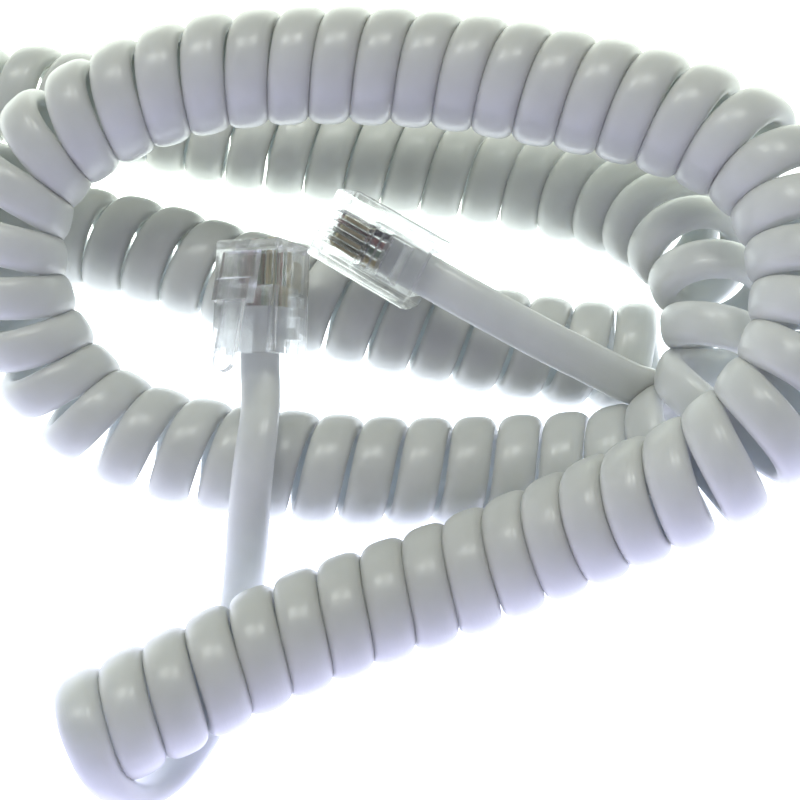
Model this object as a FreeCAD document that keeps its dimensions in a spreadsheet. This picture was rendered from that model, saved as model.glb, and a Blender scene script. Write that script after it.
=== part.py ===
"""Coiled handset cord with a clear four-contact modular plug on each end.

The cord lies loosely folded on a table, +Z up, in millimetres.  The origin is on the
table under the middle of the whole cord.  Each plug is modelled in a frame of its own:
origin at the middle of its rear face, +Y towards its nose, +Z towards its latch.
"""
import FreeCAD
import Part
import math
import os
import re
import Sketcher
from FreeCAD import Placement, Rotation, Vector

doc = FreeCAD.newDocument("handset_cord")
sheet = doc.addObject("Spreadsheet::Sheet", "sheet")

DIMENSIONS = {
    # the cord
    "coil_outer": 12.0,
    "tail_diameter": 3.5,
    # the plug's moulding
    "plug_width": 7.65,
    "plug_height": 6.6,
    "plug_length": 11.7,
    "nose_chamfer": 0.25,
    "edge_round": 0.35,
    "cavity_width": 5.0,
    "cavity_height": 3.8,
    "cavity_depth": 7.0,
    "nose_wall": 0.9,
    "step_width": 8.05,
    "step_length": 1.4,
    "step_height": 2.4,
    # the windows that the two clamps are pressed through
    "jacket_window_rear": 1.8,
    "jacket_window_front": 4.2,
    "jacket_window_width": 4.4,
    "core_window_rear": 5.2,
    "core_window_front": 6.3,
    "core_window_width": 4.2,
    "clamp_gap": 0.05,
    "clamp_recess": 0.7,
    # contacts and the four insulated conductors
    "contact_count": 4,
    "contact_pitch": 1.02,
    "blade_thickness": 0.35,
    "blade_slot": 0.45,
    "blade_rear": 6.7,
    "blade_front": 9.9,
    "blade_recess": 0.4,
    "blade_bite": 0.3,
    "core_diameter": 0.9,
    "core_bore": 1.0,
    "core_drop": 0.6,
    "jacket_depth": 4.9,
    # the latch
    "latch_pivot": 9.9,
    "latch_rise": 0.55,
    "latch_round": 0.4,
    "latch_arm_width": 4.2,
    "latch_arm_length": 5.2,
    "latch_shoulder_length": 2.6,
    "latch_shoulder_rise": 0.95,
    "latch_finger_width": 2.3,
    "latch_finger_thickness": 0.7,
    "latch_finger_length": 11.3,
    "latch_tilt": 12.0,
    # where the plugs lie
    "plug_a_x": -5.6,
    "plug_a_y": 1.4,
    "plug_a_z": 14.8,
    "plug_a_yaw": -2.0,
    "plug_a_pitch": 18.0,
    "plug_a_roll": -27.0,
    "plug_b_x": 11.7,
    "plug_b_y": 9.0,
    "plug_b_z": 18.1,
    "plug_b_yaw": 57.0,
    "plug_b_pitch": 0.0,
    "plug_b_roll": 147.0,
}
for row, (alias, size) in enumerate(DIMENSIONS.items(), start=1):
    sheet.set(f"A{row}", alias)
    sheet.set(f"B{row}", str(size))
    sheet.setAlias(f"B{row}", alias)
doc.recompute()

CORE_COLOURS = ("black", "red", "green", "yellow")

# Middle of the coiled length.  It starts at the loose end in front, runs right, climbs
# over the back, falls to the left, comes forward, turns back right under itself, lies
# along the back, turns at the far left and ends under the pile on the right.
COIL_ROUTE = [
    (-20.6, -36.3, 10), (-16.6, -34.2, 10), (-12, -32, 10), (-5.5, -28.4, 9.8), (3, -24.9, 9.9),
    (12, -22, 10.5), (19, -19.8, 12.2), (25.5, -17.6, 14.9), (31.5, -15.9, 18.5), (38, -14, 22.5),
    (43.5, -10, 26), (47, -4, 28.5), (48, 3.5, 30), (46.5, 12, 30), (42.5, 17.5, 29.5),
    (35.5, 21.5, 29), (25, 25, 28), (14, 28, 27), (3, 29, 26.5), (-7.5, 29, 26),
    (-16, 27.5, 25), (-23, 25, 23.5), (-29, 21.5, 21.5), (-32, 15, 19), (-32, 7.5, 14.5),
    (-28, 1, 9), (-21.5, -4, 6.5), (-12, -6.5, 6), (-0.5, -8, 6), (11, -8.5, 6), (21, -8.2, 6),
    (28, -8, 6.5), (34, -7.7, 8.3), (39.2, -6, 12.4), (41.6, -1.3, 16.5), (41.8, 5.5, 18),
    (40.2, 13, 16.5), (35.7, 20.5, 11.8), (27, 26, 7.5), (15.5, 29, 6), (3, 31.2, 6),
    (-9, 33, 6), (-20.5, 35.8, 6), (-30, 38.8, 6), (-38, 40, 6), (-44.5, 38, 6), (-48, 32.5, 6),
    (-47, 26, 6), (-42, 21.7, 6), (-35.5, 20.6, 6), (-28.5, 20.3, 6), (-20.5, 18.5, 6),
    (-9, 14.5, 6), (2.5, 11, 6), (14.5, 8, 6), (25.5, 5.8, 6), (32.5, 5, 6), (38, 5.2, 6),
]
# Straight tails, from the coil to just short of each plug.
TAIL_A_ROUTE = [
    (-20.6, -36.3, 10), (-23.8, -37.98, 10), (-25.8, -40.8, 8), (-24, -43.4, 5), (-19.5, -43.6, 2.8),
    (-14.3, -41, 1.9), (-10.5, -35, 1.9), (-8.9, -28.5, 1.9), (-8.4, -22, 2.8), (-7.6, -17, 7),
    (-6.9, -13, 11.7), (-6.2, -10, 14.6), (-5.8, -7.6, 15.3), (-5.6, -5.2, 14.9), (-5.5, -2, 13.9),
]
TAIL_B_ROUTE = [
    (38, 4.6, 8.4), (36.4, 1.2, 10.6), (33.2, -0.4, 12.8), (29, 0.6, 14.6), (24.3, 2.4, 15.9),
    (19.6, 4.4, 17.4), (15.6, 6.5, 18.1),
]


def size_of(formula):
    """Value of a formula written in the sheet's names."""
    return float(sheet.evalExpression(formula))


def with_sheet(formula):
    """The same formula as an object outside the sheet has to write it."""
    return re.sub("[a-z_]+", r"sheet.\g<0>", formula)


# ---- sketches and features -------------------------------------------------------

def new_body(label):
    body = doc.addObject("PartDesign::Body", label)
    body.Label = label
    return body


def new_sketch(body, role, name):
    plane = next(f for f in body.Origin.OriginFeatures if f.Role == role)
    sketch = body.newObject("Sketcher::SketchObject", name)
    sketch.AttachmentSupport = [(plane, "")]
    sketch.MapMode = "FlatFace"
    return sketch


def pin(sketch, geometry, point, across, up):
    """Hold one point of a sketch at two formulas of the sheet."""
    for kind, formula in (("DistanceX", across), ("DistanceY", up)):
        constraint = Sketcher.Constraint(kind, -1, 1, geometry, point, size_of(formula))
        index = sketch.addConstraint(constraint)
        sketch.setExpression(f"Constraints[{index}]", with_sheet(formula))


def outline(sketch, corners):
    """Closed outline through corners, each a pair of formulas."""
    points = [Vector(size_of(across), size_of(up), 0) for across, up in corners]
    for index, (across, up) in enumerate(corners):
        following = (index + 1) % len(corners)
        sketch.addGeometry(Part.LineSegment(points[index], points[following]), False)
        pin(sketch, index, 1, across, up)
    for index in range(len(corners)):
        following = (index + 1) % len(corners)
        sketch.addConstraint(Sketcher.Constraint("Coincident", index, 2, following, 1))


def rectangle(sketch, left, right, low, high):
    outline(sketch, [(left, low), (right, low), (right, high), (left, high)])


def circle(sketch, across, up, radius):
    centre = Vector(size_of(across), size_of(up), 0)
    index = sketch.addGeometry(Part.Circle(centre, Vector(0, 0, 1), size_of(radius)), False)
    pin(sketch, index, 3, across, up)
    constraint = sketch.addConstraint(Sketcher.Constraint("Radius", index, size_of(radius)))
    sketch.setExpression(f"Constraints[{constraint}]", with_sheet(radius))


def pad(body, sketch, length):
    """Pad a sketch by half the length to each side of its plane."""
    feature = body.newObject("PartDesign::Pad", sketch.Name + "_pad")
    feature.Profile = sketch
    feature.Midplane = True
    feature.setExpression("Length", with_sheet(length))
    return feature


def pocket(body, sketch, length):
    feature = body.newObject("PartDesign::Pocket", sketch.Name + "_pocket")
    feature.Profile = sketch
    feature.setExpression("Length", with_sheet(length))
    return feature


def repeat_across(body, features, count, pitch):
    """Repeat features along the body's X axis."""
    x_axis = next(f for f in body.Origin.OriginFeatures if f.Role == "X_Axis")
    pattern = body.newObject("PartDesign::LinearPattern", body.Name + "_pattern")
    pattern.Originals = features
    pattern.Direction = (x_axis, [""])
    pattern.setExpression("Occurrences", with_sheet(count))
    pattern.setExpression("Length", with_sheet(f"({count} - 1) * {pitch}"))
    body.Tip = pattern


def named_edges(feature, wanted):
    """Names of a feature's edges whose box and length pass a test."""
    edges = enumerate(feature.Shape.Edges, start=1)
    return [f"Edge{number}" for number, edge in edges if wanted(edge.BoundBox, edge.Length)]


def finish_edges(body, last):
    """Round the four long edges and break the four round the nose face."""
    nose = size_of("plug_length")
    half_height = size_of("plug_height / 2")
    shortest = size_of("plug_height - 2 * edge_round")
    close = 1e-6

    def is_long(box, length):
        return (length > nose - size_of("step_length") - close and box.XLength < close
                and abs(box.ZMin) > half_height - close)

    def is_at_nose(box, length):
        return box.YMin > nose - close and length > shortest - close

    feature = body.newObject("PartDesign::Fillet", body.Name + "_fillet")
    feature.Base = (last, named_edges(last, is_long))
    feature.setExpression("Radius", with_sheet("edge_round"))
    doc.recompute()
    chamfer = body.newObject("PartDesign::Chamfer", body.Name + "_chamfer")
    chamfer.Base = (feature, named_edges(feature, is_at_nose))
    chamfer.setExpression("Size", with_sheet("nose_chamfer"))
    body.Tip = chamfer


# ---- the plug's pieces, each in the plug's own frame --------------------------------

def first_core():
    return "-0.5 * (contact_count - 1) * contact_pitch"


def make_housing(end):
    """Clear moulding: cable cavity, four bores with blade slots, two clamp windows."""
    name = f"housing_{end}"
    body = new_body(name)
    block = new_sketch(body, "XY_Plane", name + "_block")
    rectangle(block, "-plug_width / 2", "plug_width / 2", "0", "plug_length")
    pad(body, block, "plug_height")
    step = new_sketch(body, "XY_Plane", name + "_step")
    rectangle(step, "-step_width / 2", "step_width / 2", "0", "step_length")
    pad(body, step, "step_height")
    cavity = new_sketch(body, "XZ_Plane", name + "_cavity")
    rectangle(cavity, "-cavity_width / 2", "cavity_width / 2",
              "-cavity_height / 2", "cavity_height / 2")
    pocket(body, cavity, "cavity_depth")
    bore = new_sketch(body, "XZ_Plane", name + "_bore")
    circle(bore, first_core(), "-core_drop", "core_bore / 2")
    bore_cut = pocket(body, bore, "plug_length - nose_wall")
    slot = new_sketch(body, "XY_Plane", name + "_slot")
    rectangle(slot, first_core() + " - blade_slot / 2", first_core() + " + blade_slot / 2",
              "blade_rear - clamp_gap", "plug_length - nose_wall")
    slot_cut = pocket(body, slot, "plug_height / 2")
    doc.recompute()
    repeat_across(body, [bore_cut, slot_cut], "contact_count", "contact_pitch")
    doc.recompute()
    for part, rear, front in (("jacket", "jacket_window_rear", "jacket_window_front"),
                              ("core", "core_window_rear", "core_window_front")):
        half = f"{part}_window_width / 2"
        window = new_sketch(body, "XY_Plane", f"{name}_{part}_window")
        rectangle(window, "-" + half, half, rear, front)
        last = pocket(body, window, "plug_height / 2")
    doc.recompute()
    finish_edges(body, last)
    return body


def make_clamp(end, part, depth):
    """Wedge pressed through a window of the housing onto the cable."""
    body = new_body(f"{part}_clamp_{end}")
    side = new_sketch(body, "YZ_Plane", f"{body.Name}_side")
    rear = f"{part}_window_rear + clamp_gap"
    front = f"{part}_window_front - clamp_gap"
    outer = "-plug_height / 2 + clamp_recess"
    outline(side, [(rear, outer), (front, outer), (front, depth + " - 0.4 * clamp_recess"),
                   (f"0.5 * ({rear} + {front})", depth), (rear, depth + " - clamp_recess")])
    pad(body, side, f"{part}_window_width - 2 * clamp_gap")
    return body


def make_latch(end):
    """Sprung latch: origin on its living hinge, arm and finger running back along -Y."""
    name = f"latch_{end}"
    body = new_body(name)
    root = new_sketch(body, "YZ_Plane", name + "_root")
    circle(root, "0", "0", "latch_round")
    pad(body, root, "latch_arm_width")
    arm = new_sketch(body, "YZ_Plane", name + "_arm")
    shoulder = "-latch_arm_length + latch_shoulder_length"
    outline(arm, [("0", "-latch_round"), ("0", "latch_round"), (shoulder, "latch_round"),
                  (shoulder + " - latch_round", "latch_shoulder_rise"),
                  ("-latch_arm_length", "latch_shoulder_rise"),
                  ("-latch_arm_length", "-latch_round")])
    pad(body, arm, "latch_arm_width")
    finger = new_sketch(body, "XY_Plane", name + "_finger")
    half = "latch_finger_width / 2"
    rectangle(finger, "-" + half, half, "-latch_finger_length", "-latch_arm_length + latch_round")
    pad(body, finger, "latch_finger_thickness")
    tip = new_sketch(body, "XY_Plane", name + "_tip")
    circle(tip, "0", "-latch_finger_length", half)
    pad(body, tip, "latch_finger_thickness")
    return body


def make_contact(end, number):
    """Blade contact with two points that bite into its conductor."""
    name = f"contact_{end}{number}"
    body = new_body(name)
    side = new_sketch(body, "YZ_Plane", name + "_side")
    outer = "-plug_height / 2 + blade_recess"
    root = "-core_drop - core_diameter / 2 - 0.1"
    tip = "-core_drop - core_diameter / 2 + blade_bite"
    span = "(blade_front - blade_rear)"
    outline(side, [("blade_rear", outer + " + 0.35"), ("blade_rear + 0.35", outer),
                   ("blade_front - 0.35", outer), ("blade_front", outer + " + 0.35"),
                   ("blade_front", root), (f"blade_front - 0.2 * {span}", tip),
                   (f"blade_front - 0.4 * {span}", root), (f"blade_rear + 0.4 * {span}", root),
                   (f"blade_rear + 0.2 * {span}", tip), ("blade_rear", root)])
    pad(body, side, "blade_thickness")
    return body


def make_conductor(end, colour):
    """One insulated conductor, from the jacket's cut end to the end of its bore."""
    core = doc.addObject("Part::Cylinder", f"conductor_{end}_{colour}")
    core.Label = core.Name
    core.setExpression("Radius", with_sheet("core_diameter / 2"))
    core.setExpression("Height", with_sheet("plug_length - nose_wall - 0.1 - jacket_depth"))
    return core


# ---- placing ---------------------------------------------------------------------

def plug_frame(end):
    """Where a plug lies: yaw about Z, then pitch, then roll about its own length."""
    turn = Rotation(Vector(0, 0, 1), size_of(f"plug_{end}_yaw"))
    turn = turn * Rotation(Vector(1, 0, 0), size_of(f"plug_{end}_pitch"))
    turn = turn * Rotation(Vector(0, 1, 0), size_of(f"plug_{end}_roll"))
    rear = Vector(*[size_of(f"plug_{end}_{letter}") for letter in "xyz"])
    return Placement(rear, turn)


def place(piece, frame, offset=Vector(0, 0, 0), turn=Rotation()):
    piece.Placement = frame * Placement(offset, turn)


def build_plug(end):
    """Every piece of one plug, in its place."""
    frame = plug_frame(end)
    pieces = [make_housing(end)]
    pieces.append(make_clamp(end, "jacket", "-tail_diameter / 2 - clamp_gap"))
    pieces.append(make_clamp(end, "core", "-core_drop - core_diameter / 2 - clamp_gap"))
    for piece in pieces:
        place(piece, frame)
    latch = make_latch(end)
    pivot = Vector(0, size_of("latch_pivot"), size_of("plug_height / 2 + latch_rise"))
    place(latch, frame, pivot, Rotation(Vector(1, 0, 0), -size_of("latch_tilt")))
    pieces.append(latch)
    for number, colour in enumerate(CORE_COLOURS, start=1):
        across = size_of(f"{first_core()} + {number - 1} * contact_pitch")
        contact = make_contact(end, number)
        place(contact, frame, Vector(across, 0, 0))
        core = make_conductor(end, colour)
        start = Vector(across, size_of("jacket_depth"), -size_of("core_drop"))
        place(core, frame, start, Rotation(Vector(1, 0, 0), -90))
        pieces += [contact, core]
    return pieces


# ---- the cord ----------------------------------------------------------------------

def rounded_path(points, label):
    """Straight runs joined by tangent arcs, each as large as its two runs allow."""
    edges = []
    radii = []
    start = points[0]
    for before, corner, after in zip(points, points[1:], points[2:]):
        back = before - corner
        ahead = after - corner
        turn = math.pi - back.getAngle(ahead)
        reach = 0.45 * min(back.Length, ahead.Length)
        radius = reach / math.tan(turn / 2)
        back.normalize()
        ahead.normalize()
        bisector = (back + ahead).normalize()
        arc_start = corner + back * reach
        arc_end = corner + ahead * reach
        arc_middle = corner + bisector * (radius / math.cos(turn / 2) - radius)
        edges.append(Part.LineSegment(start, arc_start).toShape())
        edges.append(Part.Arc(arc_start, arc_middle, arc_end).toShape())
        radii.append(radius)
        start = arc_end
    edges.append(Part.LineSegment(start, points[-1]).toShape())
    print(label, "bend radii, mm:", " ".join(f"{radius:.0f}" for radius in radii))
    return Part.Wire(edges)


def make_tube(label, points, diameter):
    """Closed round tube along a route."""
    path = rounded_path(points, label)
    direction = points[1] - points[0]
    section = Part.Circle(points[0], direction, diameter / 2).toShape()
    solid = path.makePipeShell([Part.Wire(section)], True, False)
    expected = path.Length * math.pi * diameter ** 2 / 4
    print(label, f"length {path.Length:.1f} mm, volume {solid.Volume:.0f}",
          f"of {expected:.0f} mm3")
    if abs(solid.Volume / expected - 1) > 0.01:
        raise RuntimeError(f"{label} has the wrong volume")
    tube = doc.addObject("Part::Feature", label)
    tube.Label = label
    tube.Shape = solid
    tube.Placement = Placement()
    return tube


def tail_points(end, route):
    """A tail's route with its last run, inside the plug to the jacket's cut end."""
    frame = plug_frame(end)
    inside = [frame.multVec(Vector(0, depth, 0)) for depth in (0, size_of("jacket_depth"))]
    return [Vector(*point) for point in route] + inside


nodes = [make_tube("coil", [Vector(*point) for point in COIL_ROUTE], size_of("coil_outer"))]
for end, route in (("a", TAIL_A_ROUTE), ("b", TAIL_B_ROUTE)):
    nodes.append(make_tube(f"tail_{end}", tail_points(end, route), size_of("tail_diameter")))
    nodes += build_plug(end)
doc.recompute()

for thing in doc.Objects:
    if "Invalid" in thing.State or "Error" in thing.State:
        raise RuntimeError(f"{thing.Name} did not build: {thing.State}")
for node in nodes:
    if node.Shape.isNull() or not node.Shape.isValid():
        raise RuntimeError(f"{node.Label} has no valid shape")

os.makedirs("parts", exist_ok=True)
for node in nodes:
    node.Shape.exportStep(f"parts/{node.Label}.step")
print(len(nodes), "nodes written")
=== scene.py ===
import math

import bpy
import numpy as np
from mathutils import Matrix, Vector


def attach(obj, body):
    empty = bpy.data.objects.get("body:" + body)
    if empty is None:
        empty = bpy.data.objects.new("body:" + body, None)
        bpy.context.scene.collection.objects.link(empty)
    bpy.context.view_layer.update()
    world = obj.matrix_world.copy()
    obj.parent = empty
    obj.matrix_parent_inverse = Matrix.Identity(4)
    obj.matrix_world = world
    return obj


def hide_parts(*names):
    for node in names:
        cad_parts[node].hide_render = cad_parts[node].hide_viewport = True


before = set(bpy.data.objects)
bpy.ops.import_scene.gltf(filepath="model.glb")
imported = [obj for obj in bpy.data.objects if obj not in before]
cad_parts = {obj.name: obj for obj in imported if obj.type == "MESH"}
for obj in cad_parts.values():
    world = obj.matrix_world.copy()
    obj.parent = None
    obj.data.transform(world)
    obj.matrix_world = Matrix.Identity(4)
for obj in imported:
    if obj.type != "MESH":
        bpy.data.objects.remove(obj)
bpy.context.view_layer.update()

# A coiled handset cord lies folded on a glowing table, with a clear plug on each end.
# Lengths are in metres.

# ---- the camera, which looks down at the cord on its table ---------------------------

CAMERA_TARGET = Vector((0.009, 0.0, 0.0059))
CAMERA_DISTANCE = 0.1456
CAMERA_ELEVATION = math.radians(68)
CAMERA_LENS = 59.85


def make_camera():
    data = bpy.data.cameras.new("camera")
    data.lens = CAMERA_LENS
    data.sensor_width = 36
    data.clip_start = 0.001
    camera = bpy.data.objects.new("camera", data)
    back = Vector((0, -math.cos(CAMERA_ELEVATION), math.sin(CAMERA_ELEVATION)))
    camera.location = CAMERA_TARGET + back * CAMERA_DISTANCE
    camera.rotation_euler = (math.pi / 2 - CAMERA_ELEVATION, 0, 0)
    bpy.context.scene.collection.objects.link(camera)
    bpy.context.scene.camera = camera


make_camera()

# ---- the cord --------------------------------------------------------------------------

# Middle of the coiled length, from the loose end in front to the end under the pile.
COIL_ROUTE = [
    (-.0206, -.0363, .010), (-.0166, -.0342, .010), (-.012, -.032, .010), (-.0055, -.0284, .0098),
    (.003, -.0249, .0099), (.012, -.022, .0105), (.019, -.0198, .0122), (.0255, -.0176, .0149),
    (.0315, -.0159, .0185), (.038, -.014, .0225), (.0435, -.010, .026), (.047, -.004, .0285),
    (.048, .0035, .030), (.0465, .012, .030), (.0425, .0175, .0295), (.0355, .0215, .029),
    (.025, .025, .028), (.014, .028, .027), (.003, .029, .0265), (-.0075, .029, .026),
    (-.016, .0275, .025), (-.023, .025, .0235), (-.029, .0215, .0215), (-.032, .015, .019),
    (-.032, .0075, .0145), (-.028, .001, .009), (-.0215, -.004, .0065), (-.012, -.0065, .006),
    (-.0005, -.008, .006), (.011, -.0085, .006), (.021, -.0082, .006), (.028, -.008, .0065),
    (.034, -.0077, .0083), (.0392, -.006, .0124), (.0416, -.0013, .0165), (.0418, .0055, .018),
    (.0402, .013, .0165), (.0357, .0205, .0118), (.027, .026, .0075), (.0155, .029, .006),
    (.003, .0312, .006), (-.009, .033, .006), (-.0205, .0358, .006), (-.030, .0388, .006),
    (-.038, .040, .006), (-.0445, .038, .006), (-.048, .0325, .006), (-.047, .026, .006),
    (-.042, .0217, .006), (-.0355, .0206, .006), (-.0285, .0203, .006), (-.0205, .0185, .006),
    (-.009, .0145, .006), (.0025, .011, .006), (.0145, .008, .006), (.0255, .0058, .006),
    (.0325, .005, .006), (.038, .0052, .006),
]
# Each point of a tail, and the way the outer of the flat cord's two wide faces looks there.
# Tail A swings loosely down round the end of the coil, passes under the front strand with
# its outer face down, climbs over the middle strand and enters plug A.
TAIL_A_ROUTE = [
    ((-.0199, -.0382, .0141), (-.05, -.66, .75)),
    ((-.0193, -.0403, .0111), (-.10, -.88, .46)),
    ((-.0181, -.0417, .0072), (-.08, -.98, .16)),
    ((-.0165, -.0415, .0045), (.05, -.94, -.33)),
    ((-.0149, -.0402, .0030), (.18, -.70, -.69)),
    ((-.0136, -.0386, .0022), (.28, -.45, -.85)),
    ((-.0124, -.0367, .0017), (.22, -.26, -.94)),
    ((-.0111, -.0341, .0014), (.08, -.10, -.99)),
    ((-.0096, -.0300, .0013), (0, 0, -1)),
    ((-.0085, -.0257, .0013), (0, 0, -1)),
    ((-.0078, -.0218, .0020), (.02, .2, -.98)),
    ((-.0071, -.0185, .0060), (.15, .60, -.78)),
    ((-.0064, -.0148, .0108), (.30, .62, -.72)),
    ((-.0058, -.0112, .0146), (.40, .40, -.83)),
    ((-.0053, -.0078, .0158), (.45, .05, -.89)),
    ((-.0052, -.0045, .0149), (.46, -.05, -.88)),
    ((-.0054, -.0014, .0140), (.46, .20, -.86)),
]
# Tail B leaves the coil's hidden end upwards, comes out from under the pile and lies along
# the strand behind it, outer face up, to plug B.
TAIL_B_ROUTE = [
    ((.0376, .0000, .0086), (-.10, -.95, .30)),
    ((.0364, -.0008, .0108), (-.20, -.75, .63)),
    ((.0335, -.0010, .0124), (-.25, -.55, .80)),
    ((.0298, .0003, .0140), (-.28, -.48, .83)),
    ((.0266, .0015, .0151), (-.29, -.46, .84)),
    ((.0234, .0028, .0161), (-.30, -.46, .84)),
    ((.0195, .0046, .0172), (-.30, -.46, .84)),
    ((.0156, .0065, .0181), (-.30, -.46, .84)),
]
# Each plug: middle of its rear face, then yaw, pitch and roll in degrees.
PLUG_POSES = {
    "a": ((-.0056, .0014, .0148), -2, 18, -27),
    "b": ((.0117, .0090, .0181), 57, 0, 147),
}
# How far the jacket goes into a plug.
JACKET_DEPTH = .0049

COIL_OUTER = .0119
CORD_WIDTH = .0044
CORD_THICKNESS = .0025
# Powers of the cosine and sine that draw the section: at 1 it is an ellipse, and below 1 a
# squarer shape with rounded edges.
WIDTH_POWER = .75
THICKNESS_POWER = .9
# On a straight stretch, turns with a looseness of 1 just touch.
TURN_PITCH = CORD_WIDTH
# How loosely the turns lie at shares of the coil's length.
LOOSENESS = [(0, 1), (.1, .97), (.2, .98), (.36, .98), (.46, 1.1), (.6, 1.08), (.68, 1.05),
             (.8, 1.05), (.88, 1.09)]
# A bend would open its turns by the coil's radius over the bend's, up to MOST_BENT.  They
# open by this share of that.
BEND_SHARE = .66
MOST_BENT = .6
ROUTE_STEP = .0005
# The bend at a place is the mean over this many steps of the route.
BEND_STEPS = 27
POINTS_PER_TURN = 20
SECTION_POINTS = 24
# No two turns are quite the same size: each wave's height, its angle gained in a turn and
# the angle it starts at.
SIZE_WAVES = [(.006, 1.7, 0), (.005, 4.3, 1)]
# How far the cord's line is moved outwards to find the way out along it.
FACE_SHIFT = .001
FLOOR_HALF = 1.5


def plug_matrix(end):
    """From a plug's own frame, +Y to its nose and +Z to its latch, to where it lies."""
    rear, yaw, pitch, roll = PLUG_POSES[end]
    turn = Matrix.Rotation(math.radians(yaw), 4, "Z")
    turn = turn @ Matrix.Rotation(math.radians(pitch), 4, "X")
    turn = turn @ Matrix.Rotation(math.radians(roll), 4, "Y")
    return Matrix.Translation(rear) @ turn


def smooth_line(points, name, steps=12):
    """One smooth NURBS line along a route, with a number of steps to each of its points."""
    curve = bpy.data.curves.new(name, "CURVE")
    curve.dimensions = "3D"
    curve.resolution_u = steps
    spline = curve.splines.new("NURBS")
    spline.points.add(len(points) - 1)
    for control, point in zip(spline.points, points):
        control.co = (*point, 1)
    spline.order_u = 3
    spline.use_endpoint_u = True
    holder = bpy.data.objects.new(name, curve)
    mesh = bpy.data.meshes.new_from_object(holder)
    line = np.array([vertex.co[:] for vertex in mesh.vertices])
    bpy.data.objects.remove(holder)
    bpy.data.curves.remove(curve)
    bpy.data.meshes.remove(mesh)
    return line


def unit(vectors):
    """The same ways with lengths of 1."""
    return vectors / np.linalg.norm(vectors, axis=-1, keepdims=True)


def lengths_along(line):
    """How far along a line each of its points is."""
    return np.concatenate([[0], np.cumsum(np.linalg.norm(np.diff(line, axis=0), axis=1))])


def at_lengths(line, along, wanted):
    """A line's values at the wanted places along it."""
    return np.stack([np.interp(wanted, along, part) for part in line.T], axis=1)


def coil_turns():
    """Points of the left-handed helix round the coil's route, and the way out at each.

    The turns lie side by side on a straight stretch.  On a bend they open, so that they
    crowd only a little on its inner side.
    """
    line = smooth_line(COIL_ROUTE, "coil_route")
    along = lengths_along(line)
    wanted = np.linspace(0, along[-1], int(along[-1] / ROUTE_STEP))
    middle = at_lengths(line, along, wanted)
    tangent = unit(np.gradient(middle, axis=0))
    bend = np.linalg.norm(np.gradient(tangent, axis=0), axis=1) / wanted[1]
    bend = np.convolve(bend, np.ones(BEND_STEPS) / BEND_STEPS, "same")
    radius = (COIL_OUTER - CORD_THICKNESS) / 2
    shares, looseness = zip(*LOOSENESS)
    pitch = TURN_PITCH * np.interp(wanted / along[-1], shares, looseness)
    pitch /= 1 - BEND_SHARE * np.minimum(radius * bend, MOST_BENT)
    turns = np.concatenate([[0], np.cumsum(2 * wanted[1] / (pitch[1:] + pitch[:-1]))])
    # The first turn starts at its top and the last one ends at its front.
    total = round(turns[-1] + .25) - .25
    turns *= total / turns[-1]
    turn = np.arange(0, total * POINTS_PER_TURN + .5) / POINTS_PER_TURN
    place = np.interp(turn, turns, wanted)
    centre = at_lengths(middle, wanted, place)
    forward = unit(at_lengths(tangent, wanted, place))
    above = unit(np.array([0, 0, 1]) - forward * forward[:, 2:])
    side = np.cross(forward, above)
    angle = -2 * math.pi * turn[:, None]
    out = above * np.cos(angle) + side * np.sin(angle)
    uneven = 1 + sum(high * np.sin(rate * turn + start) for high, rate, start in SIZE_WAVES)
    # A NURBS line runs a little inside its points, so they stand a little further out.
    reach = radius * uneven[:, None] / math.cos(math.pi / POINTS_PER_TURN)
    return centre + out * reach, out


def tail_in(end, route):
    """A tail's points and faces, with its last run inside the plug."""
    place = plug_matrix(end)
    face = place.to_3x3() @ Vector((0, 0, -1))
    points = [point for point, _ in route]
    faces = [face_there for _, face_there in route]
    for depth in (0, JACKET_DEPTH):
        points.append(tuple(place @ Vector((0, depth, 0))))
        faces.append(tuple(face))
    return np.array(points), unit(np.array(faces, float))


def cord_line():
    """The whole cord's line from plug A to plug B, and the way out of its wide face."""
    turns, turns_out = coil_turns()
    tail_a, faces_a = tail_in("a", TAIL_A_ROUTE)
    tail_b, faces_b = tail_in("b", TAIL_B_ROUTE)
    points = np.concatenate([tail_a[::-1], turns, tail_b])
    outs = np.concatenate([faces_a[::-1], turns_out, faces_b])
    line = smooth_line(points, "cord_line", 2)
    moved = smooth_line(points + outs * FACE_SHIFT, "cord_face", 2)
    tangent = unit(np.gradient(line, axis=0))
    out = moved - line
    out = unit(out - tangent * np.sum(out * tangent, axis=1)[:, None])
    return line, tangent, out


def cord_section():
    """The flat cord's rounded section: along its width, then through its thickness."""
    section = []
    for number in range(SECTION_POINTS):
        angle = 2 * math.pi * number / SECTION_POINTS
        across, through = math.cos(angle), math.sin(angle)
        across = math.copysign(abs(across) ** WIDTH_POWER, across)
        through = math.copysign(abs(through) ** THICKNESS_POWER, through)
        section.append((across * CORD_WIDTH / 2, through * CORD_THICKNESS / 2))
    return section


def mesh_object(name, verts, faces, smooth=True):
    """A new object in the scene with a mesh of these points and faces."""
    mesh = bpy.data.meshes.new(name)
    mesh.from_pydata([tuple(vertex) for vertex in verts], [], faces)
    mesh.update()
    for face in mesh.polygons:
        face.use_smooth = smooth
    piece = bpy.data.objects.new(name, mesh)
    bpy.context.scene.collection.objects.link(piece)
    return piece


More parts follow.
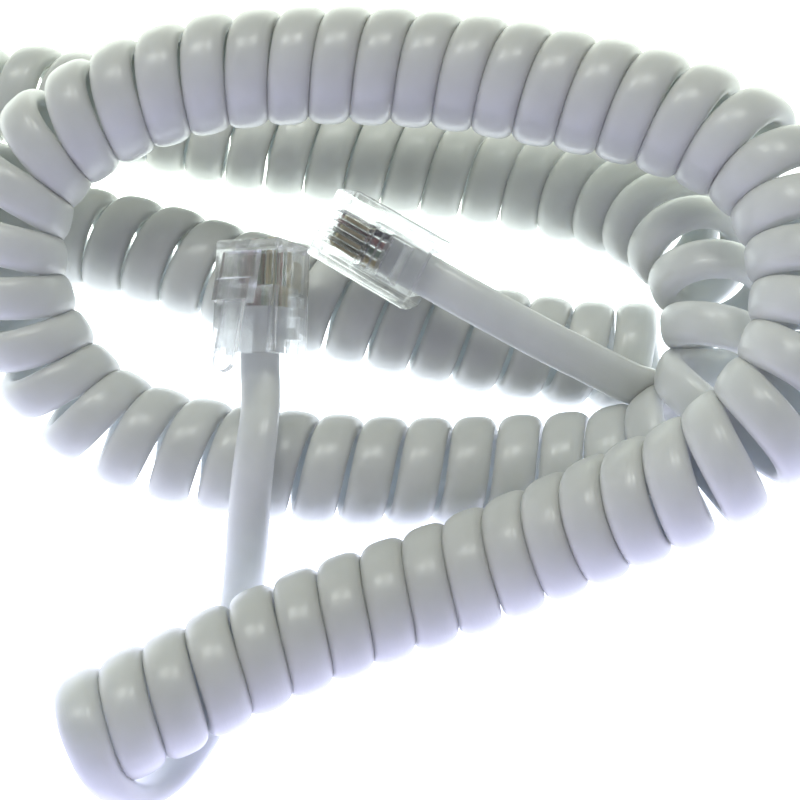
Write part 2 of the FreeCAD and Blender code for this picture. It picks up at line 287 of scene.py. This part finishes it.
def make_cord():
    """The jacket's mesh, with its texture running along the cord, and the cord's line."""
    line, tangent, out = cord_line()
    across = np.cross(tangent, out)
    section = cord_section()
    rings = [line + across * wide + out * high for wide, high in section]
    verts = np.stack(rings, axis=1).reshape(-1, 3)
    size = len(section)
    along = lengths_along(line) / CORD_WIDTH
    faces = []
    places = []
    for ring in range(len(line) - 1):
        for point in range(size):
            following = (point + 1) % size
            first, second = ring * size, (ring + 1) * size
            faces.append((first + point, first + following, second + following, second + point))
            here, there = point / size, (point + 1) / size
            places += [(here, along[ring]), (there, along[ring]),
                       (there, along[ring + 1]), (here, along[ring + 1])]
    faces.append(tuple(range(size)))
    faces.append(tuple(reversed(range(len(verts) - size, len(verts)))))
    # The two cut ends are inside the plugs, so their texture has no places of its own.
    places += [(0, 0)] * 2 * size
    cord = mesh_object("cord_jacket", verts, faces)
    layer = cord.data.uv_layers.new(name="along")
    layer.data.foreach_set("uv", np.array(places, float).ravel())
    return cord, line


# ---- materials ---------------------------------------------------------------------------

def new_material(name):
    """A material, its nodes, its links and its one shader."""
    material = bpy.data.materials.new(name)
    material.use_nodes = True
    nodes = material.node_tree.nodes
    return material, nodes, material.node_tree.links, nodes["Principled BSDF"]


def noise(nodes, links, place, scale, detail, stretch=(1, 1, 1)):
    """A noise texture's value over the piece, stretched along its axes."""
    mapping = nodes.new("ShaderNodeMapping")
    mapping.inputs["Scale"].default_value = stretch
    links.new(place, mapping.inputs["Vector"])
    texture = nodes.new("ShaderNodeTexNoise")
    texture.inputs["Scale"].default_value = scale
    texture.inputs["Detail"].default_value = detail
    links.new(mapping.outputs["Vector"], texture.inputs["Vector"])
    return texture.outputs["Fac"]


def two_colours(nodes, links, value, start, low, end, high):
    """Colours from low, where a value is at start, to high, where it is at end."""
    colours = nodes.new("ShaderNodeValToRGB")
    first, last = colours.color_ramp.elements
    first.position, last.position = start, end
    first.color, last.color = (*low, 1), (*high, 1)
    links.new(value, colours.inputs["Fac"])
    return colours.outputs["Color"]


def ramp(nodes, links, value, low, high):
    """Colours over a noise, most of whose values lie between .3 and .7."""
    return two_colours(nodes, links, value, .3, low, .7, high)


def bumps(nodes, links, value, strength, distance, below=None):
    """Fine relief from a value, on top of any relief below it."""
    bump = nodes.new("ShaderNodeBump")
    bump.inputs["Strength"].default_value = strength
    bump.inputs["Distance"].default_value = distance
    links.new(value, bump.inputs["Height"])
    if below:
        links.new(below, bump.inputs["Normal"])
    return bump.outputs["Normal"]


def roughness_range(nodes, links, value, low, high):
    """Roughness that follows a noise from low to high."""
    spread = nodes.new("ShaderNodeMapRange")
    spread.inputs["To Min"].default_value = low
    spread.inputs["To Max"].default_value = high
    links.new(value, spread.inputs["Value"])
    return spread.outputs["Result"]


def jacket_material():
    """Soft glossy PVC: faint mottling, drawing lines along the cord and a glow within."""
    material, nodes, links, shader = new_material("cord_jacket")
    shader.inputs["Subsurface Weight"].default_value = .85
    shader.inputs["Subsurface Radius"].default_value = (.0036, .0038, .0042)
    shader.inputs["Subsurface Scale"].default_value = 1.0
    shader.inputs["Coat Weight"].default_value = .22
    shader.inputs["Coat Roughness"].default_value = .2
    place = nodes.new("ShaderNodeTexCoord")
    mottle = noise(nodes, links, place.outputs["Object"], 160, 3)
    base = ramp(nodes, links, mottle, (.588, .598, .57), (.648, .658, .63))
    links.new(base, shader.inputs["Base Color"])
    smears = noise(nodes, links, place.outputs["Object"], 420, 4)
    links.new(roughness_range(nodes, links, smears, .28, .46), shader.inputs["Roughness"])
    lines = noise(nodes, links, place.outputs["UV"], 60, 3, stretch=(1, .02, 1))
    grain = noise(nodes, links, place.outputs["Object"], 1400, 4)
    lined = bumps(nodes, links, lines, .12, .0001)
    links.new(bumps(nodes, links, grain, .06, .0001, lined), shader.inputs["Normal"])
    return material


def clear_material():
    """Clear moulded polycarbonate, faintly wavy, with the haze of handling."""
    material, nodes, links, shader = new_material("clear_plug")
    shader.inputs["IOR"].default_value = 1.585
    shader.inputs["Transmission Weight"].default_value = .94
    shader.inputs["Alpha"].default_value = .7
    place = nodes.new("ShaderNodeTexCoord")
    cloud = noise(nodes, links, place.outputs["Object"], 350, 2)
    links.new(ramp(nodes, links, cloud, (.96, .975, .975), (.99, 1, 1)),
              shader.inputs["Base Color"])
    haze = noise(nodes, links, place.outputs["Object"], 900, 4)
    links.new(roughness_range(nodes, links, haze, .04, .16), shader.inputs["Roughness"])
    wave = noise(nodes, links, place.outputs["Object"], 600, 1)
    links.new(bumps(nodes, links, wave, .15, .0001), shader.inputs["Normal"])
    return material


def gold_material():
    """Thin gold over the blades' edges, dulled and lined by sliding in a jack."""
    material, nodes, links, shader = new_material("gold_contact")
    shader.inputs["Metallic"].default_value = .85
    place = nodes.new("ShaderNodeTexCoord")
    tarnish = noise(nodes, links, place.outputs["Object"], 900, 3)
    links.new(ramp(nodes, links, tarnish, (.42, .38, .26), (.58, .53, .38)),
              shader.inputs["Base Color"])
    wear = noise(nodes, links, place.outputs["Object"], 2500, 2, stretch=(1, .2, 1))
    links.new(roughness_range(nodes, links, wear, .35, .6), shader.inputs["Roughness"])
    links.new(bumps(nodes, links, wear, .1, .00005), shader.inputs["Normal"])
    return material


def core_material(name, colour):
    """Satin insulation of one conductor, a little uneven in colour."""
    material, nodes, links, shader = new_material(name)
    place = nodes.new("ShaderNodeTexCoord")
    uneven = noise(nodes, links, place.outputs["Object"], 1200, 3)
    darker = [.8 * part for part in colour]
    links.new(ramp(nodes, links, uneven, darker, colour), shader.inputs["Base Color"])
    links.new(roughness_range(nodes, links, uneven, .3, .5), shader.inputs["Roughness"])
    links.new(bumps(nodes, links, uneven, .1, .00005), shader.inputs["Normal"])
    return material


# ---- making everything -------------------------------------------------------------------

cord, cord_path = make_cord()
cord.data.materials.append(jacket_material())
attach(cord, "cord")
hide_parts("coil", "tail_a", "tail_b")

clear = clear_material()
gold = gold_material()
core_colours = {"black": (.07, .06, .06), "red": (.38, .16, .14),
                "green": (.16, .25, .16), "yellow": (.52, .42, .20)}
cores = {name: core_material("core_" + name, colour) for name, colour in core_colours.items()}
for name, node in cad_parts.items():
    node.data.materials.clear()
    if name.startswith(("housing", "latch", "jacket_clamp", "core_clamp")):
        node.data.materials.append(clear)
    elif name.startswith("contact"):
        node.data.materials.append(gold)
    elif name.startswith("conductor"):
        node.data.materials.append(cores[name.split("_")[-1]])


# ---- floor and light ---------------------------------------------------------------------

def share(nodes, links, value, start, end):
    """How far a value is on its way from start, which gives 0, to end, which gives 1."""
    spread = nodes.new("ShaderNodeMapRange")
    spread.inputs["From Min"].default_value = start
    spread.inputs["From Max"].default_value = end
    links.new(value, spread.inputs["Value"])
    return spread.outputs["Result"]


def make_floor():
    """A plain glowing table, cooler in front."""
    corners = [(across * FLOOR_HALF, deep * FLOOR_HALF, 0)
               for across, deep in ((-1, -1), (1, -1), (1, 1), (-1, 1))]
    floor = mesh_object("floor", corners, [(0, 1, 2, 3)], smooth=False)
    material, nodes, links, shader = new_material("light_table")
    shader.inputs["Base Color"].default_value = (.8, .8, .82, 1)
    shader.inputs["Emission Strength"].default_value = 2
    place = nodes.new("ShaderNodeTexCoord")
    parts = nodes.new("ShaderNodeSeparateXYZ")
    links.new(place.outputs["Object"], parts.inputs["Vector"])
    back = share(nodes, links, parts.outputs["Y"], -.05, .04)
    tint = two_colours(nodes, links, back, 0, (.64, .65, 1), 1, (.86, .95, .84))
    links.new(tint, shader.inputs["Emission Color"])
    floor.data.materials.append(material)


def area_light(name, place, aim, size, power, colour):
    """A soft lamp that looks from its place to its aim, and isn't itself seen."""
    data = bpy.data.lights.new(name, "AREA")
    data.shape = "RECTANGLE"
    data.size, data.size_y = size
    data.energy = power
    data.color = colour
    light = bpy.data.objects.new(name, data)
    light.location = place
    direction = Vector(aim) - Vector(place)
    light.rotation_euler = direction.to_track_quat("-Z", "Y").to_euler()
    light.visible_camera = False
    bpy.context.scene.collection.objects.link(light)


def make_world():
    """A white studio: bright walls, cooler in front, and a dimmer ceiling."""
    world = bpy.data.worlds.new("studio")
    world.use_nodes = True
    nodes = world.node_tree.nodes
    links = world.node_tree.links
    place = nodes.new("ShaderNodeTexCoord")
    parts = nodes.new("ShaderNodeSeparateXYZ")
    links.new(place.outputs["Generated"], parts.inputs["Vector"])
    sky = two_colours(nodes, links, parts.outputs["Z"], .05, (.9, .9, .9), .55, (.23, .23, .23))
    back = share(nodes, links, parts.outputs["Y"], -.5, .5)
    tint = two_colours(nodes, links, back, 0, (.82, .82, 1), 1, (.95, 1, .90))
    tinted = nodes.new("ShaderNodeVectorMath")
    tinted.operation = "MULTIPLY"
    links.new(sky, tinted.inputs[0])
    links.new(tint, tinted.inputs[1])
    links.new(tinted.outputs["Vector"], nodes["Background"].inputs["Color"])
    bpy.context.scene.world = world


def make_lights():
    """Two small lamps overhead for the highlights, and a cool low one in front."""
    area_light("lamp_left", (-.22, .22, .55), (0, 0, 0), (.14, .16), .8, (.96, 1, .94))
    area_light("lamp_right", (.02, .24, .6), (0, 0, 0), (.14, .16), .8, (.96, 1, .94))
    area_light("front_fill", (0, -.14, .09), (0, -.02, .01), (.24, .08), .024, (.68, .64, 1))


make_floor()
make_world()
make_lights()
bpy.context.scene.view_settings.view_transform = "Standard"
